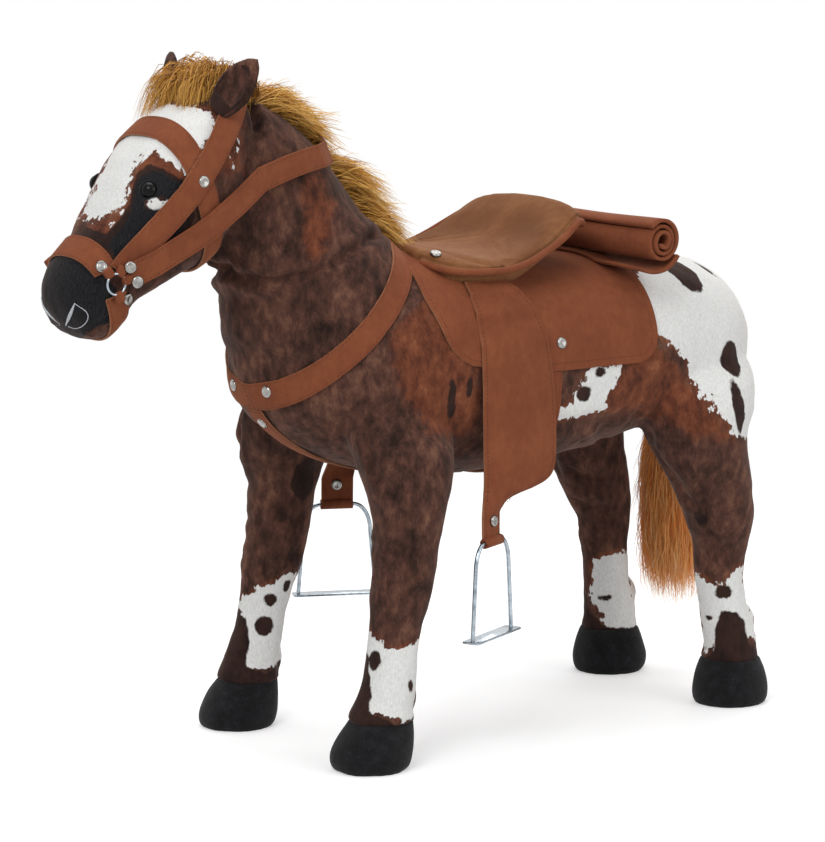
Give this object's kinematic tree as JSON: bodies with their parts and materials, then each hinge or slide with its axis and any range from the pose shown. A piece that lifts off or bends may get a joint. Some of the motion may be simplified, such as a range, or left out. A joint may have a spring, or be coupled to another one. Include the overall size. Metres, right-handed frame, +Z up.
{
  "type": "plush ride on pony",
  "caption": "Plush pony to sit on: stuffed body on an inner steel frame, suede-look saddle with hanging fenders and wire stirrups, strap bridle, reins and breast collar.",
  "frame": {"origin": "on the floor, under the middle of the overall length, on the pony's middle plane", "axes": "+X towards the head, +Y to the pony's left, +Z up"},
  "size_m": [0.88, 0.3356, 0.7262],
  "materials": {
    "plush": "short pile plush, brown with white and rust patches",
    "black_plush": "short pile plush, black",
    "hair": "combed yarn hair, ochre",
    "tack": "suede-look fabric, rust brown",
    "frame_steel": "plain tube",
    "chrome_wire": "bright",
    "rivets": "nickel, domed",
    "eyes": "glossy",
    "plywood": "bare"
  },
  "bodies": {
    "pony": {"front_leg_hoop": "frame_steel", "rear_leg_hoop": "frame_steel", "spine_tube": "frame_steel", "seat_board": "plywood", "front_frame_bolt": "frame_steel", "rear_frame_bolt": "frame_steel", "torso": "plush", "neck": "plush", "head": "plush", "muzzle": "black_plush", "front_leg_left": "plush", "front_hoof_left": "black_plush", "front_leg_right": "plush", "front_hoof_right": "black_plush", "rear_leg_left": "plush", "rear_hoof_left": "black_plush", "rear_leg_right": "plush", "rear_hoof_right": "black_plush", "eye_left": "eyes", "eye_right": "eyes", "skirt": "tack", "front_flap_left": "tack", "front_flap_right": "tack", "seat_pad": "tack", "bedroll": "tack", "girth_strap": "tack", "breast_strap_left": "tack", "breast_strap_right": "tack", "breast_strap_centre": "tack", "breast_rivet_bottom": "rivets", "breast_rivet_left": "rivets", "breast_rivet_right": "rivets", "noseband": "tack", "chin_strap": "tack", "headstall": "tack", "brow_strap": "tack", "cheek_rivet_left": "rivets", "cheek_rivet_right": "rivets", "reins": "tack", "ear_left": "plush", "ear_right": "plush", "mane_upper": "hair", "mane_lower": "hair", "forelock": "hair", "tail_dock": "hair", "girth_rivet_left": "rivets", "seat_rivet_left": "rivets", "girth_rivet_right": "rivets", "seat_rivet_right": "rivets"},
    "fender_left": {"fender_left": "tack", "fender_rivet_left": "rivets"},
    "fender_right": {"fender_right": "tack", "fender_rivet_right": "rivets"},
    "stirrup_left": {"stirrup_bow_left": "chrome_wire", "stirrup_tread_left": "chrome_wire"},
    "stirrup_right": {"stirrup_bow_right": "chrome_wire", "stirrup_tread_right": "chrome_wire"},
    "tail": {"tail_hair": "hair"},
    "bit_ring_left": {"bit_ring_left": "chrome_wire"},
    "bit_ring_right": {"bit_ring_right": "chrome_wire"}
  },
  "joints": [
    {"name": "fender_left_swing", "type": "hinge", "parent": "pony", "child": "fender_left", "pos_m": [-0.036, 0.10358, 0.4895], "axis": [1, 0, 0], "range_deg": [0, 45]},
    {"name": "fender_right_swing", "type": "hinge", "parent": "pony", "child": "fender_right", "pos_m": [-0.036, -0.10358, 0.4895], "axis": [-1, 0, 0], "range_deg": [0, 45]},
    {"name": "stirrup_left_swing", "type": "hinge", "parent": "fender_left", "child": "stirrup_left", "pos_m": [0.00114, 0.13917, 0.223], "axis": [0.9063, 0.4226, 0], "range_deg": [-10, 60]},
    {"name": "stirrup_right_swing", "type": "hinge", "parent": "fender_right", "child": "stirrup_right", "pos_m": [0.00114, -0.13917, 0.223], "axis": [-0.9063, 0.4226, 0], "range_deg": [-10, 60]},
    {"name": "tail_sway", "type": "hinge", "parent": "pony", "child": "tail", "pos_m": [-0.417, -0.058, 0.398], "axis": [0, 1, 0], "range_deg": [0, 45]},
    {"name": "bit_ring_left_spin", "type": "hinge", "parent": "pony", "child": "bit_ring_left", "pos_m": [0.402, 0.05619, 0.51], "axis": [0, 1, 0], "continuous": true},
    {"name": "bit_ring_right_spin", "type": "hinge", "parent": "pony", "child": "bit_ring_right", "pos_m": [0.402, -0.05619, 0.51], "axis": [0, 1, 0], "continuous": true}
  ]
}
